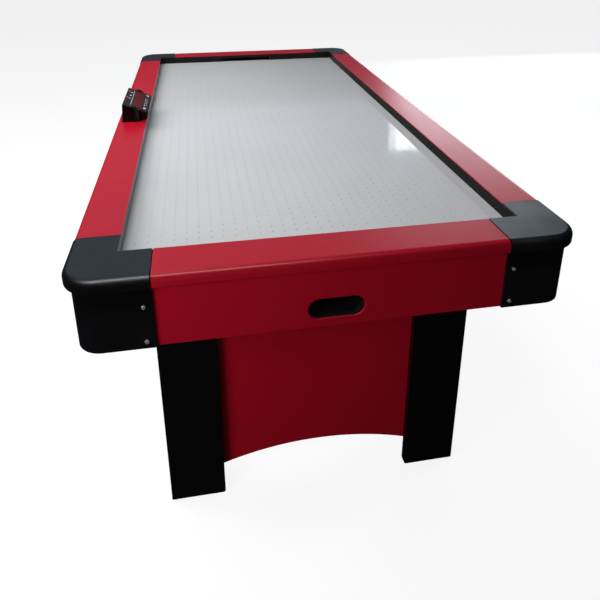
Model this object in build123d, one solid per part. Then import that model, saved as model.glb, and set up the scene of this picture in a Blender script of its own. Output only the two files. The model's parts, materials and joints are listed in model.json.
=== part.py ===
from build123d import *
import math
import os

os.makedirs("parts", exist_ok=True)

# Frame: X across the table, Y along it, Z up from the floor. All sizes in millimetres.

# ---- overall ----
TOP_Z = 800.0            # flat top of the rails
LIP_X, LIP_Y = 527.0, 1067.0   # half sizes the rails' lips are set from
RAIL_T = 28.0            # height of the rail's outer lip
OVERHANG = 17.0          # lip beyond the apron face
CAP_PROUD = 0.8          # caps stand this much proud of the rails
SEAM = 1.1               # half of the visible joint between a cap and a rail

# ---- aprons ----
APRON_T = 15.0
APRON_Z = 633.0
APRON_X, APRON_Y = LIP_X - OVERHANG, LIP_Y - OVERHANG
IN_X, IN_Y = APRON_X - APRON_T, APRON_Y - APRON_T
LIP_Z = TOP_Z - RAIL_T

# ---- playing surface and plenum ----
FIELD_X, FIELD_Y = 430.0, 962.0
FIELD_Z = 768.0
FIELD_T = 6.0
WALL_T = 4.0
WALL_TOP = 797.0
STRIP_T = 18.0
STRIP_Z = FIELD_Z - FIELD_T - 40.0
BOARD_T = 6.0
BOARD_Z = STRIP_Z - BOARD_T

# ---- corners ----
JOINT_X, JOINT_Y = 361.0, 893.0
CAP_SIDE = 1.2           # caps stand this much outside the rails' setting-out line
CAP_DROP = 1.5           # and hang this much lower
CAP_R = 68.0
CAP_TOP_T = 3.5
SKIRT_T = 5.0
SKIRT_OUT = 5.3
SKIRT_R = 52.0
BLOCK_Z = 640.0
SCREW_OFFSET = 18.0
SCREW_ZS = (649.0, 728.0)
CAP_SCREW_L = 28.0
PILOT_R = 2.25           # pilot holes round the 2.2 mm screw shanks

# ---- goals ----
GOAL_X = 122.0
GOAL_H = 16.0
RETURN_X, RETURN_H, RETURN_Z = 59.0, 46.0, 676.0
CHUTE_T = 3.0
COLLAR_GAP, COLLAR_T = 0.3, 2.0
FLANGE_SCREW_L = 7.0

# ---- legs ----
LEG_OUT, LEG_IN = 385.0, 246.0
LEG_FACE = 870.0
LEG_DEPTH = 140.0
LEG_T = 20.0
PANEL_T = 15.0
BEAM_T = 18.0
GLIDE_T = 3.0
ARCH_END, ARCH_TOP = 82.0, 122.0
PANEL_SCREW_L = 28.0

# ---- blower ----
FAN_BOX = 110.0
FAN_Z = 650.0
FAN_R = 84.0
SHAFT_R = 4.0

# ---- scorer ----
SCORE_Y = 20.0
SCORE_OUT, SCORE_IN = -509.0, -430.5
SCORE_TOP_OUT, SCORE_TOP_IN = -505.0, -424.0
SCORE_H_OUT, SCORE_H_IN = 60.5, 26.5
SCORE_HALF, SCORE_HALF_TOP = 116.5, 113.5
SCORE_STEP_X, SCORE_STEP = -451.0, 19.0
EAR_X, EAR_V, EAR_R = -465.0, 110.5, 12.0
EAR_SEAT = 808.0
BUTTON_R = 5.0
BUTTON_TRAVEL = 1.2

# ---- left-side power module ----
POWER_Y, POWER_Z = -150.0, 695.0
ROCKER_TILT = 8.0


def box(x0, x1, y0, y1, z0, z1):
    return Pos((x0 + x1) / 2, (y0 + y1) / 2, (z0 + z1) / 2) * Box(x1 - x0, y1 - y0, z1 - z0)


def post(x, y, z0, z1, r):
    return Pos(x, y, (z0 + z1) / 2) * Cylinder(r, z1 - z0)


def rod(a, b, r):
    """Round bar between two points."""
    a, b = Vector(*a), Vector(*b)
    d = b - a
    plane = Plane(origin=a, z_dir=d.normalized())
    return extrude(plane * Circle(r), amount=d.length)


def edges_near(shape, axis, **where):
    """Straight edges along an axis whose midpoint has the given coordinates."""
    found = []
    for e in shape.edges().filter_by(axis):
        c = e.center()
        if all(abs(getattr(c, k) - v) < 0.05 for k, v in where.items()):
            found.append(e)
    return found


def four_ways(make):
    """Name the four mirror images of a part built in the +X +Y quadrant."""
    base = make()
    right_rear = base
    left_rear = mirror(base, about=Plane.YZ)
    right_front = mirror(base, about=Plane.XZ)
    left_front = mirror(left_rear, about=Plane.XZ)
    return {"front_left": left_front, "front_right": right_front,
            "rear_left": left_rear, "rear_right": right_rear}


def save(shape, name):
    export_step(shape, f"parts/{name}.step")


def save_ends(rear, name):
    """Write a part made for the rear end, and its mirror image at the front."""
    save(rear, f"{name}_rear")
    save(mirror(rear, about=Plane.XZ), f"{name}_front")


def save_group(shapes, name):
    save(Compound(children=list(shapes)), name)


# ---------------------------------------------------------------- rails and aprons
def side_rail():
    """Right-hand top rail: rebate for the rebound wall, step that locks over the apron."""
    out = LIP_X - CAP_PROUD
    half = JOINT_Y - SEAM
    rail = box(FIELD_X, out, -half, half, FIELD_Z, TOP_Z)
    rail -= box(IN_X, out + 1, -half - 1, half + 1, FIELD_Z - 1, LIP_Z)
    rail -= box(FIELD_X - 1, FIELD_X + WALL_T, -half - 1, half + 1, FIELD_Z - 1, WALL_TOP)
    rail = fillet(edges_near(rail, Axis.Y, X=out, Z=TOP_Z), 14)
    return fillet(edges_near(rail, Axis.Y, X=out, Z=LIP_Z), 5)


def end_rail():
    """Rear top rail, with the pocket over the goal."""
    out = LIP_Y - CAP_PROUD
    half = JOINT_X - SEAM
    rail = box(-half, half, FIELD_Y, out, FIELD_Z, TOP_Z)
    rail -= box(-half - 1, half + 1, IN_Y, out + 1, FIELD_Z - 1, LIP_Z)
    rail -= box(-half - 1, half + 1, FIELD_Y - 1, FIELD_Y + WALL_T, FIELD_Z - 1, WALL_TOP)
    rail -= box(-GOAL_X - 3, GOAL_X + 3, FIELD_Y, IN_Y, FIELD_Z - 1, FIELD_Z + GOAL_H + 2)
    rail = fillet(edges_near(rail, Axis.X, Y=out, Z=TOP_Z), 14)
    return fillet(edges_near(rail, Axis.X, Y=out, Z=LIP_Z), 5)


def end_apron():
    """Rear apron board with its round-ended puck return slot."""
    apron = box(-450, 450, IN_Y, APRON_Y, APRON_Z, LIP_Z)
    slot = Plane.XZ * Pos(0, RETURN_Z) * SlotOverall(2 * RETURN_X, RETURN_H)
    apron -= Pos(0, IN_Y - 5, 0) * extrude(slot, amount=-30)
    mouth = [e for e in apron.edges().filter_by(lambda e: abs(e.center().Y - APRON_Y) < 0.05)
             if abs(e.center().X) < 70 and 650 < e.center().Z < 702]
    apron = fillet(mouth, 3)
    return chamfer(edges_near(apron, Axis.X, Y=APRON_Y, Z=APRON_Z), 1)


def side_apron():
    apron = box(IN_X, APRON_X, -985, 985, APRON_Z, LIP_Z)
    return chamfer(edges_near(apron, Axis.Y, X=APRON_X, Z=APRON_Z), 1)


def scorer_wire_hole(z0, z1):
    """Hole on the scorer's wire line, down through rail, playfield, strip and board."""
    return post(-IN_X + STRIP_T / 2, SCORE_Y, z0, z1, 4)


# ---------------------------------------------------------------- corners
def corner_plan(out_x, out_y, radius, x0, y0):
    """Plan of the corner quadrant, rounded on the outside, cut to an L on the inside."""
    plan = Pos((x0 + out_x) / 2, (y0 + out_y) / 2) * Rectangle(out_x - x0, out_y - y0)
    outer = [v for v in plan.vertices() if v.X > out_x - 1 and v.Y > out_y - 1]
    return fillet(outer, radius)


def corner_cap():
    """Moulded cover: L-shaped top, rounded lip, inset skirt, hollow below."""
    x0, y0 = JOINT_X + SEAM, JOINT_Y + SEAM
    top = TOP_Z + CAP_PROUD
    base_z = LIP_Z - CAP_DROP
    plan = corner_plan(LIP_X + CAP_SIDE, LIP_Y + CAP_SIDE, CAP_R, x0, y0)
    lip = extrude(Pos(0, 0, base_z) * plan, amount=top - base_z)
    rim = [e for e in lip.edges() if e.center().Z > top - 0.01
           and (e.center().X > LIP_X - 30 or e.center().Y > LIP_Y - 30)]
    outer_rim = [e for e in rim if not (abs(e.center().X - x0) < 1 or abs(e.center().Y - y0) < 1)]
    lip = fillet(outer_rim, 14)
    base = [e for e in lip.edges() if e.center().Z < base_z + 0.01
            and (e.center().X > LIP_X - 30 or e.center().Y > LIP_Y - 30)
            and not (abs(e.center().X - x0) < 1 or abs(e.center().Y - y0) < 1)]
    lip = fillet(base, 4)
    sx, sy = APRON_X + SKIRT_OUT, APRON_Y + SKIRT_OUT
    skirt = corner_plan(sx, sy, SKIRT_R, x0, y0)
    cap = lip + extrude(Pos(0, 0, APRON_Z) * skirt, amount=LIP_Z - APRON_Z + 2)
    hollow = corner_plan(sx - SKIRT_T, sy - SKIRT_T, SKIRT_R - SKIRT_T, x0 - 1, y0 - 1)
    cap -= extrude(Pos(0, 0, APRON_Z - 1) * hollow, amount=top - CAP_TOP_T - APRON_Z + 1)
    cap -= box(x0 - 2, FIELD_X, y0 - 2, FIELD_Y, APRON_Z - 1, top + 1)
    for z in SCREW_ZS:
        cap -= rod((JOINT_X + SCREW_OFFSET, sy - 10, z), (JOINT_X + SCREW_OFFSET, sy + 2, z), 2.3)
        cap -= rod((sx - 10, JOINT_Y + SCREW_OFFSET, z), (sx + 2, JOINT_Y + SCREW_OFFSET, z), 2.3)
    return cap


def corner_block():
    """L-shaped timber that ties two aprons and backs the rebound walls in the corner."""
    in_x, in_y = FIELD_X + WALL_T + 0.2, FIELD_Y + WALL_T + 0.2
    block = box(JOINT_X + 1, IN_X, in_y, IN_Y, BLOCK_Z, WALL_TOP)
    block += box(in_x, IN_X, JOINT_Y + 1, in_y, BLOCK_Z, WALL_TOP)
    corner = [e for e in block.edges().filter_by(Axis.Z)
              if e.center().X > IN_X - 1 and e.center().Y > IN_Y - 1]
    return chamfer(corner, 15)


def pan_screw(head_at, direction, length, r=2.2, head_r=5.5, head_h=2.8, cross=True):
    """Pan-head screw: the head stands out along direction, the shank goes the other way."""
    plane = Plane(origin=head_at, z_dir=direction)
    head = extrude(plane * Circle(head_r), amount=head_h)
    rim = head.edges().filter_by(GeomType.CIRCLE).sort_by(lambda e: Vector(*e.center()).dot(
        Vector(*direction)))[-1]
    head = fillet([rim], head_h * 0.6)
    if cross:
        for a, b in ((4.6, 1.3), (1.3, 4.6)):
            cut = extrude(plane * Pos(0, 0, head_h - 1.7) * Rectangle(a, b), amount=3)
            head -= cut
    return head + extrude(plane * Circle(r), amount=-length)


def cap_screws():
    """Sixteen skirt screws, four on every cap."""
    screws = []
    sx, sy = APRON_X + SKIRT_OUT, APRON_Y + SKIRT_OUT
    for z in SCREW_ZS:
        for a in (-1, 1):
            for b in (-1, 1):
                x, y = a * (JOINT_X + SCREW_OFFSET), b * (JOINT_Y + SCREW_OFFSET)
                screws.append(pan_screw((x, b * sy, z), (0, b, 0), CAP_SCREW_L, head_r=4.3))
                screws.append(pan_screw((a * sx, y, z), (a, 0, 0), CAP_SCREW_L, head_r=4.3))
    return screws


def pilots(shape, ends, sides):
    """Pilot holes for the cap screws, through the end faces, the side faces or both."""
    for z in SCREW_ZS:
        for a in (-1, 1):
            for b in (-1, 1):
                x, y = a * (JOINT_X + SCREW_OFFSET), b * (JOINT_Y + SCREW_OFFSET)
                if ends:
                    shape -= rod((x, b * (IN_Y - 8), z), (x, b * (APRON_Y + 1), z), PILOT_R)
                if sides:
                    shape -= rod((a * (IN_X - 8), y, z), (a * (APRON_X + 1), y, z), PILOT_R)
    return shape


# ---------------------------------------------------------------- playfield and plenum
def corner_notches(shape, z0, z1, end_limit):
    for a in (-1, 1):
        for b in (-1, 1):
            x0, x1 = sorted((a * (FIELD_X + WALL_T), a * (IN_X + 5)))
            y0, y1 = sorted((b * (JOINT_Y + 0.6), b * (IN_Y + 5)))
            shape -= box(x0, x1, y0, y1, z0, z1)
            x0, x1 = sorted((a * (JOINT_X + 0.6), a * (IN_X + 5)))
            y0, y1 = sorted((b * (FIELD_Y + WALL_T), b * (IN_Y + 5)))
            if end_limit:
                shape -= box(x0, x1, y0, y1, z0, z1)
    return shape


def playfield():
    """Laminated sheet; its corners clear the blocks and its ends open over the chutes."""
    field = box(-IN_X + 0.5, IN_X - 0.5, -IN_Y + 0.5, IN_Y - 0.5, FIELD_Z - FIELD_T, FIELD_Z)
    field = corner_notches(field, FIELD_Z - FIELD_T - 1, FIELD_Z + 1, True)
    for b in (-1, 1):
        y0, y1 = sorted((b * (FIELD_Y + 5), b * (IN_Y + 5)))
        field -= box(-GOAL_X - 3, GOAL_X + 3, y0, y1, FIELD_Z - 10, FIELD_Z + 1)
        for x in (-GOAL_X - 15, GOAL_X + 15):
            for y in (980 * b, 1020 * b):
                field -= post(x, y, FIELD_Z - 10, FIELD_Z - 1.5, PILOT_R)
    return field - scorer_wire_hole(FIELD_Z - 10, FIELD_Z + 1)


def plenum_board():
    """Bottom of the air box, with the blower's hole."""
    board = box(-IN_X, IN_X, -FIELD_Y, FIELD_Y, BOARD_Z, STRIP_Z)
    board = corner_notches(board, BOARD_Z - 1, STRIP_Z + 1, False)
    board -= scorer_wire_hole(BOARD_Z - 1, STRIP_Z + 1)
    for x in (-FAN_BOX - 8, FAN_BOX + 8):
        for y in (-60, 60):
            board -= post(x, y, BOARD_Z - 1, STRIP_Z - 1.5, PILOT_R)
    return board - post(0, 0, BOARD_Z - 1, STRIP_Z + 1, 95)


def plenum_strips():
    side = box(IN_X - STRIP_T, IN_X, -JOINT_Y, JOINT_Y, STRIP_Z, FIELD_Z - FIELD_T)
    end = box(-FIELD_X - 4, FIELD_X + 4, FIELD_Y - STRIP_T, FIELD_Y, STRIP_Z, FIELD_Z - FIELD_T)
    save(side, "plenum_strip_right")
    save(mirror(side, about=Plane.YZ) - scorer_wire_hole(STRIP_Z - 1, FIELD_Z), "plenum_strip_left")
    save_ends(end, "plenum_strip")


def plenum_spacers():
    """Blocks that hold the playfield flat over the bottom board."""
    blocks = []
    for x in (-220, 220):
        for y in (-720, -400, 0, 400, 720):
            blocks.append(box(x - 9, x + 9, y - 60, y + 60, STRIP_Z, FIELD_Z - FIELD_T))
    return blocks


def rebound_walls():
    side = box(FIELD_X, FIELD_X + WALL_T, -FIELD_Y, FIELD_Y, FIELD_Z, WALL_TOP)
    end = box(-FIELD_X - WALL_T, FIELD_X + WALL_T, FIELD_Y, FIELD_Y + WALL_T, FIELD_Z, WALL_TOP)
    end -= box(-GOAL_X, GOAL_X, FIELD_Y - 1, FIELD_Y + WALL_T + 1, FIELD_Z - 1, FIELD_Z + GOAL_H)
    save(side, "wall_right")
    save(mirror(side, about=Plane.YZ), "wall_left")
    save_ends(end, "wall")


# ---------------------------------------------------------------- puck chutes
def chute_plan(grow):
    """Funnel outline in the XZ plane."""
    g = grow
    pts = [(-GOAL_X - g, 763 + g), (-GOAL_X - g, 712), (-RETURN_X - 3 - g, 652 - g),
           (RETURN_X + 3 + g, 652 - g), (GOAL_X + g, 712), (GOAL_X + g, 763 + g)]
    return Plane.XZ * make_face(Polyline(*pts, close=True))


def return_outline(gap, y0, y1):
    """Solid through the return slot, smaller than the slot by gap all round."""
    slot = Plane.XZ * Pos(0, RETURN_Z) * SlotOverall(2 * (RETURN_X - gap), RETURN_H - 2 * gap)
    return Pos(0, y0, 0) * extrude(slot, amount=-(y1 - y0))


def puck_chute():
    """Rear chute: catches the puck behind the goal and slides it out through its collar."""
    y0 = FIELD_Y + 2
    top = FIELD_Z - FIELD_T
    outer = Pos(0, y0, 0) * extrude(chute_plan(CHUTE_T), amount=-(IN_Y - y0))
    inner = Pos(0, y0 + CHUTE_T, 0) * extrude(chute_plan(0), amount=-(IN_Y - y0 - 2 * CHUTE_T))
    chute = outer - inner
    inside = COLLAR_GAP + COLLAR_T
    lip = RETURN_Z - RETURN_H / 2 + inside
    ramp = Plane.YZ * make_face(Polyline((y0 + 1, 650), (y0 + 1, 668), (IN_Y, lip), (IN_Y, 650),
                                         close=True))
    chute += Pos(-RETURN_X - 3, 0, 0) * extrude(ramp, amount=2 * RETURN_X + 6)
    chute -= box(-200, 200, y0 - 1, IN_Y + 1, top, top + 30)
    chute += box(-GOAL_X, GOAL_X, IN_Y - CHUTE_T, IN_Y, 712, FIELD_Z + GOAL_H + 1)
    chute += return_outline(COLLAR_GAP, IN_Y - 1, APRON_Y - 3)
    chute -= return_outline(inside, IN_Y - CHUTE_T - 0.5, APRON_Y)
    for a in (-1, 1):
        x0, x1 = sorted((a * (GOAL_X + 1), a * (GOAL_X + 24)))
        chute += box(x0, x1, y0, IN_Y - 1, top - CHUTE_T, top)
        xs = a * (GOAL_X + CHUTE_T / 2)
        chute -= rod((xs - 5, 1000, 726), (xs + 5, 1000, 726), 2.6)
        for y in (980, 1020):
            chute -= post(a * (GOAL_X + 15), y, top - 10, top + 1, 2.3)
    return chute


def goal_sensors():
    """Light-beam heads, one on each side of both chutes."""
    heads = []
    for a in (-1, 1):
        for b in (-1, 1):
            x0, x1 = sorted((a * (GOAL_X + CHUTE_T), a * (GOAL_X + CHUTE_T + 14)))
            y = 1000 * b
            head = box(x0, x1, y - 8, y + 8, 716, 736)
            head += rod((a * (GOAL_X + 0.5), y, 726), (a * (GOAL_X + 6), y, 726), 2.5)
            heads.append(head)
    return heads


# ---------------------------------------------------------------- legs
def leg():
    """Rear right leg: one laminated board folded to an L."""
    z0, z1 = GLIDE_T, BOARD_Z
    face = box(LEG_IN, LEG_OUT, LEG_FACE - LEG_T, LEG_FACE, z0, z1)
    side = box(LEG_OUT - LEG_T, LEG_OUT, LEG_FACE - LEG_DEPTH, LEG_FACE, z0, z1)
    shape = face + side
    for x in (LEG_IN + 30, LEG_IN + 95):
        shape -= rod((x, LEG_FACE - 30, 678), (x, LEG_FACE + 5, 678), 4.2)
    for z in (140, 390):
        shape -= rod((LEG_IN + 60, LEG_FACE - 30, z), (LEG_IN + 60, LEG_FACE - 5, z), PILOT_R)
    corner = [e for e in shape.edges().filter_by(Axis.Z)
              if e.center().X > LEG_OUT - 1 and e.center().Y > LEG_FACE - 1]
    shape = fillet(corner, 2)
    return fillet(edges_near(shape, Axis.Y, X=LEG_IN, Z=z0), 7)


def end_panel():
    """Arched modesty panel behind the front faces of a pair of legs."""
    y1 = LEG_FACE - LEG_T
    w = LEG_OUT - LEG_T
    arc = ThreePointArc((LEG_IN, ARCH_END), (0, ARCH_TOP), (-LEG_IN, ARCH_END))
    lines = Polyline((-LEG_IN, ARCH_END), (-w, ARCH_END), (-w, BOARD_Z), (w, BOARD_Z),
                     (w, ARCH_END), (LEG_IN, ARCH_END))
    face = Plane.XZ * make_face(Wire([*arc.edges(), *lines.edges()]))
    panel = Pos(0, y1, 0) * extrude(face, amount=PANEL_T)
    for a in (-1, 1):
        for x in (LEG_IN + 30, LEG_IN + 95):
            panel -= rod((a * x, y1 - 40, 678), (a * x, y1 + 5, 678), 4.2)
        for z in (140, 390):
            panel -= rod((a * (LEG_IN + 60), y1 - 40, z), (a * (LEG_IN + 60), y1 + 5, z), 2.3)
    return panel


def leg_beam():
    """Cross beam that the leg tops bolt to, with a pass for the sensor wire."""
    beam = box(-IN_X, IN_X, LEG_FACE, LEG_FACE + BEAM_T, BLOCK_Z, BOARD_Z)
    for a in (-1, 1):
        for x in (LEG_IN + 30, LEG_IN + 95):
            beam -= rod((a * x, LEG_FACE - 5, 678), (a * x, LEG_FACE + 40, 678), 4.2)
    return beam - rod((-430, LEG_FACE - 5, 709), (-430, LEG_FACE + 40, 709), 4)


def leg_bolts():
    """Bolts through panel, leg and beam, with their nuts."""
    parts = []
    inner = LEG_FACE - LEG_T - PANEL_T
    outer = LEG_FACE + BEAM_T
    for a in (-1, 1):
        for b in (-1, 1):
            for x in (LEG_IN + 30, LEG_IN + 95):
                head = Plane(origin=(a * x, b * inner, 678), z_dir=(0, -b, 0))
                bolt = extrude(head * Circle(9), amount=1.6)
                bolt += extrude(head * RegularPolygon(7.5, 6), amount=6.9)
                bolt += extrude(head * Circle(4), amount=-(outer - inner + 9))
                parts.append(bolt)
                nut = Plane(origin=(a * x, b * outer, 678), z_dir=(0, b, 0))
                parts.append(extrude(nut * (RegularPolygon(7.5, 6) - Circle(4.06)), amount=6.5))
    return parts


def wood_screws():
    """Panel screws into the legs, flange screws that hold the chutes, and the scorer's two."""
    screws = scorer_screws()
    inner = LEG_FACE - LEG_T - PANEL_T
    for a in (-1, 1):
        for b in (-1, 1):
            for z in (140, 390):
                screws.append(pan_screw((a * (LEG_IN + 60), b * inner, z), (0, -b, 0), PANEL_SCREW_L,
                                        head_r=4.5, head_h=2.4, cross=False))
            for y in (980, 1020):
                z = FIELD_Z - FIELD_T - CHUTE_T
                screws.append(pan_screw((a * (GOAL_X + 15), b * y, z), (0, 0, -1), FLANGE_SCREW_L,
                                        head_r=4.5, head_h=2.4, cross=False))
    return screws


def leg_glides():
    pads = []
    for a in (-1, 1):
        for b in (-1, 1):
            pads.append(post(a * (LEG_IN + 25), b * (LEG_FACE - LEG_T / 2), 0, GLIDE_T, 8))
            pads.append(post(a * (LEG_OUT - LEG_T / 2), b * (LEG_FACE - LEG_T / 2), 0, GLIDE_T, 8))
            pads.append(post(a * (LEG_OUT - LEG_T / 2), b * (LEG_FACE - LEG_DEPTH + 25), 0, GLIDE_T, 8))
    return pads


# ---------------------------------------------------------------- blower
def blower_housing():
    """Open-topped fan box with an inlet ring and the motor's spider."""
    b, z1 = FAN_BOX, BOARD_Z
    shell = box(-b, b, -b, b, FAN_Z, z1)
    shell = fillet(shell.edges().filter_by(Axis.Z), 12)
    inner = box(-b + 3, b - 3, -b + 3, b - 3, FAN_Z + 3, z1 + 1)
    shell -= fillet(inner.edges().filter_by(Axis.Z), 9)
    shell -= post(0, 0, FAN_Z - 1, FAN_Z + 4, 60)
    shell += post(0, 0, FAN_Z, FAN_Z + 3, 26)
    for k in range(4):
        shell += Rot(0, 0, 45 + 90 * k) * box(20, 64, -3.5, 3.5, FAN_Z, FAN_Z + 3)
    for a in (-1, 1):
        x0, x1 = sorted((a * (b - 1), a * (b + 16)))
        shell += box(x0, x1, -90, 90, z1 - 3, z1)
        for y in (-60, 60):
            shell -= post(a * (b + 8), y, z1 - 10, z1 + 1, 2.3)
    return shell


def inlet_grille():
    """Finger guard over the inlet."""
    z0 = FAN_Z - 5
    guard = post(0, 0, z0, FAN_Z, 68) - post(0, 0, z0 - 1, FAN_Z + 1, 63)
    for r in (12, 24, 36, 48):
        guard += post(0, 0, z0, z0 + 2.5, r) - post(0, 0, z0 - 1, z0 + 4, r - 2)
    for k in range(4):
        guard += Rot(0, 0, 90 * k) * box(9, 65, -1.2, 1.2, z0, z0 + 2.5)
    return guard


def blower_motor():
    z0 = FAN_Z + 3
    body = post(0, 0, z0, z0 + 28, 24)
    body = fillet(body.edges().sort_by(Axis.Z)[-1:], 3)
    body += post(0, 0, z0 + 28, z0 + 31, 9)
    return body - post(0, 0, z0 + 2, z0 + 40, SHAFT_R + 0.05)


def impeller():
    """Backward-curved wheel: hub, back plate, blades and front ring."""
    hub_z0, plate_z = FAN_Z + 36, FAN_Z + 50
    wheel = post(0, 0, hub_z0, plate_z + 8, 12)
    wheel += post(0, 0, plate_z, plate_z + 3, FAN_R)
    for k in range(14):
        blade = Pos(69, 0, 0) * Rot(0, 0, 38) * box(-17, 17, -0.9, 0.9, FAN_Z + 12, plate_z + 1)
        wheel += Rot(0, 0, 360 / 14 * k) * blade
    ring = post(0, 0, FAN_Z + 10, FAN_Z + 13, FAN_R) - post(0, 0, FAN_Z, FAN_Z + 20, 58)
    wheel += ring
    return wheel - post(0, 0, FAN_Z, plate_z + 20, SHAFT_R)


def blower_screws():
    screws = []
    for a in (-1, 1):
        for y in (-60, 60):
            screws.append(pan_screw((a * (FAN_BOX + 8), y, BOARD_Z - 3), (0, 0, -1), FLANGE_SCREW_L,
                                    head_r=4.5, head_h=2.4, cross=False))
    return screws


# ---------------------------------------------------------------- scorer
SLOPE = Plane(origin=((SCORE_TOP_OUT + SCORE_TOP_IN) / 2, SCORE_Y,
                      TOP_Z + (SCORE_H_OUT + SCORE_H_IN) / 2),
              x_dir=(SCORE_TOP_IN - SCORE_TOP_OUT, 0, SCORE_H_IN - SCORE_H_OUT),
              z_dir=(SCORE_H_OUT - SCORE_H_IN, 0, SCORE_TOP_IN - SCORE_TOP_OUT))
WINDOW = (-13.0, 19.0, 94.0)
BUTTON_U = 30.0
BUTTON_VS = (-79.0, 79.0)
LAMP_U = -35.0
LAMP_VS = (-11.0, 68.0)
PLATE = (-39.0, 38.0, 106.0)


def slab(u0, u1, v0, v1, n0, n1):
    """Box in the sloping face's own frame: u down the slope, v along the table, n outwards."""
    face = Pos((u0 + u1) / 2, (v0 + v1) / 2, n0) * Rectangle(u1 - u0, v1 - v0)
    return extrude(SLOPE * face, amount=n1 - n0)


def peg(u, v, n0, n1, r):
    return extrude(SLOPE * (Pos(u, v, n0) * Circle(r)), amount=n1 - n0)


def drafted(x0, x1, half_base, half_top, low):
    """Block over the scorer's place whose ends lean from half_base up to half_top."""
    ends = Plane.YZ * make_face(Polyline((-half_base, low), (half_base, low),
                                         (half_top, TOP_Z + 66), (-half_top, TOP_Z + 66), close=True))
    return Pos(x0, SCORE_Y, 0) * extrude(ends, amount=x1 - x0)


def wedge(inset, drop):
    """Scorer body: sloping top, ends that lean in, and an undercut beside the playfield."""
    low = TOP_Z - (1 if inset else 0)
    i = inset
    fall = i * (SCORE_H_OUT - SCORE_H_IN) / (SCORE_TOP_IN - SCORE_TOP_OUT)
    side = Plane.XZ * make_face(Polyline(
        (SCORE_OUT + i, low), (SCORE_IN - i, low), (SCORE_TOP_IN - i, TOP_Z + SCORE_H_IN + fall - drop),
        (SCORE_TOP_OUT + i, TOP_Z + SCORE_H_OUT - fall - drop), close=True))
    body = Pos(0, SCORE_Y + 200, 0) * extrude(side, amount=400)
    step = SCORE_STEP_X - i
    ends = drafted(SCORE_OUT - 5, step, SCORE_HALF - i, SCORE_HALF_TOP - i, low)
    ends += drafted(step, SCORE_TOP_IN + 5, SCORE_HALF - SCORE_STEP - i, SCORE_HALF_TOP - i, low)
    return body & ends


def ears(grow, top):
    """Screw bosses in the middle of both ends, standing a little above the sloping face."""
    posts = []
    for v in (-EAR_V, EAR_V):
        ear = post(EAR_X, SCORE_Y + v, TOP_Z, TOP_Z + 70, EAR_R + grow)
        posts.append(ear & slab(-60, 60, -140, 140, -80, top))
    return posts


def scorer_housing():
    shell = wedge(0, 0)
    soft = [e for e in shell.edges() if e.center().Z > TOP_Z + 20]
    soft += [e for e in shell.edges() if e.center().X < SCORE_TOP_OUT - 1 and TOP_Z + 1 < e.center().Z]
    shell = fillet(list(dict.fromkeys(soft)), 2.5)
    shell -= wedge(2.5, 4.2)
    u0, u1, h = PLATE
    shell -= slab(u0, u1, -h, h, -1.5, 5)
    shell -= slab(WINDOW[0], WINDOW[1], -WINDOW[2], WINDOW[2], -10, 5)
    for v in BUTTON_VS:
        shell -= peg(BUTTON_U, v, -10, 5, BUTTON_R + 0.05)
    for v in LAMP_VS:
        shell -= peg(LAMP_U, v, -10, 5, 3)
    for u, v in ((-26, -87), (-26, 87), (24, -87), (24, 87)):
        shell += peg(u, v, -10.4, -3, 2.5)
    for ear in ears(0, 3):
        shell += ear
    for v in (-EAR_V, EAR_V):
        shell -= post(EAR_X, SCORE_Y + v, EAR_SEAT, TOP_Z + 70, 5.5)
        shell -= post(EAR_X, SCORE_Y + v, TOP_Z - 1, EAR_SEAT + 1, 2.3)
    return shell + scorer_foot()


def scorer_foot():
    """Narrow rim round the base, outside the walls."""
    out, inner, h = SCORE_OUT - 1.5, SCORE_STEP_X, SCORE_HALF + 1.5
    rim = box(out, inner, SCORE_Y - h, SCORE_Y + h, TOP_Z, TOP_Z + 4)
    return rim - box(SCORE_OUT + 1, inner + 1, SCORE_Y - h + 2.5, SCORE_Y + h - 2.5, TOP_Z - 1, TOP_Z + 5)


def scorer_screws():
    """Two screws down the bosses into the rail."""
    return [pan_screw((EAR_X, SCORE_Y + v, EAR_SEAT), (0, 0, 1), 22, head_r=4.5, head_h=2.6)
            for v in (-EAR_V, EAR_V)]


def scorer_pilots(rail):
    for v in (-EAR_V, EAR_V):
        rail -= post(EAR_X, SCORE_Y + v, EAR_SEAT - 23.5, TOP_Z + 1, PILOT_R)
    return rail


def scorer_panel():
    """Flush face plate, cut round the bosses, with a raised bezel round the display."""
    u0, u1, h = WINDOW
    p0, p1, half = PLATE
    plate = slab(p0, p1, -half, half, -1.5, 0)
    plate += slab(u0 - 3, u1 + 3, -h - 3, h + 3, -0.5, 1.4)
    for ear in ears(0.2, 10):
        plate -= ear
    plate -= slab(u0, u1, -h, h, -5, 5)
    for v in BUTTON_VS:
        plate -= peg(BUTTON_U, v, -5, 5, BUTTON_R + 0.05)
    for v in LAMP_VS:
        plate -= peg(LAMP_U, v, -5, 5, 3)
    return plate


def display_board():
    """Circuit board with four digit blocks and two switches under the buttons."""
    parts = [slab(-30, 35, -91, 91, -12, -10.4)]
    for v in (-72, -44, 44, 72):
        parts.append(slab(-9, 15, v - 12, v + 12, -10.4, -4.5))
    for v in BUTTON_VS:
        parts.append(slab(BUTTON_U - 3, BUTTON_U + 3, v - 3, v + 3, -10.4, -7.4))
    return parts


def scorer_button(v):
    """Round cap with a retaining flange below the housing wall."""
    cap = peg(BUTTON_U, v, -5.4, 1.8, BUTTON_R)
    top = cap.edges().filter_by(GeomType.CIRCLE).sort_by(Axis.Z)[-1:]
    cap = fillet(top, 0.9)
    return cap + peg(BUTTON_U, v, -6.0, -4.8, BUTTON_R + 0.9)


def score_lamps():
    lamps = []
    for v in LAMP_VS:
        lamp = peg(LAMP_U, v, -4, 1.6, 3)
        lamps.append(fillet(lamp.edges().filter_by(GeomType.CIRCLE).sort_by(Axis.Z)[-1:], 1.4))
    return lamps


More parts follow.
